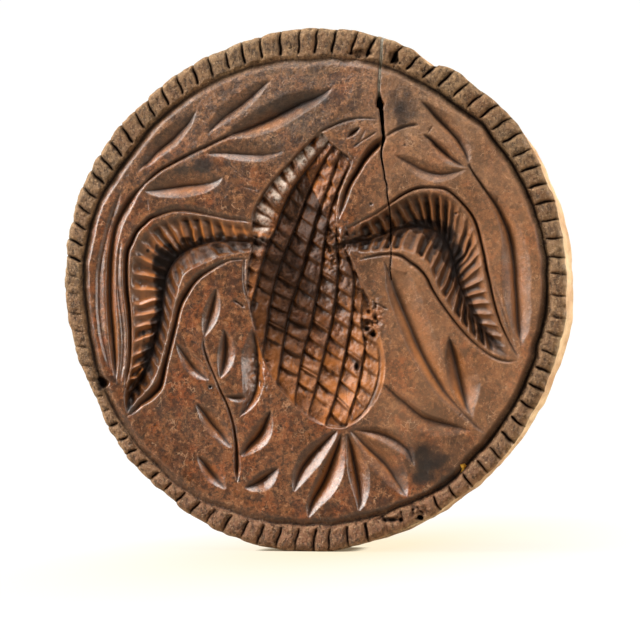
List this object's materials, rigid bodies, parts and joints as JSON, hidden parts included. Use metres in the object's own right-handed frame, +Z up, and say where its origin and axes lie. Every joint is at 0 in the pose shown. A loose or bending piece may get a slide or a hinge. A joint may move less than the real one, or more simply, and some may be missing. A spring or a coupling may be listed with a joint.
{
  "type": "carved wooden butter stamp",
  "caption": "Hand-carved round wooden butter stamp with a sunk bird and leaf pattern inside a notched border, and a turned handle wedged into the back.",
  "frame": {"origin": "on the ground under the middle of the whole stamp as it stands on its rim (bottom centre of its box)", "axes": "+Z up with the disc standing on its rim, -Y out of the carved face, +Y towards the handle, +X to the right as seen facing the carving"},
  "size_m": [0.11, 0.0852, 0.1138],
  "materials": {
    "disc_wood": "aged, oiled, worn",
    "handle_wood": "aged, oiled, hand-polished",
    "wedge_wood": "sawn"
  },
  "bodies": {
    "root": {"stamp_disc": "disc_wood", "handle": "handle_wood", "tenon_wedge": "wedge_wood"}
  },
  "joints": []
}
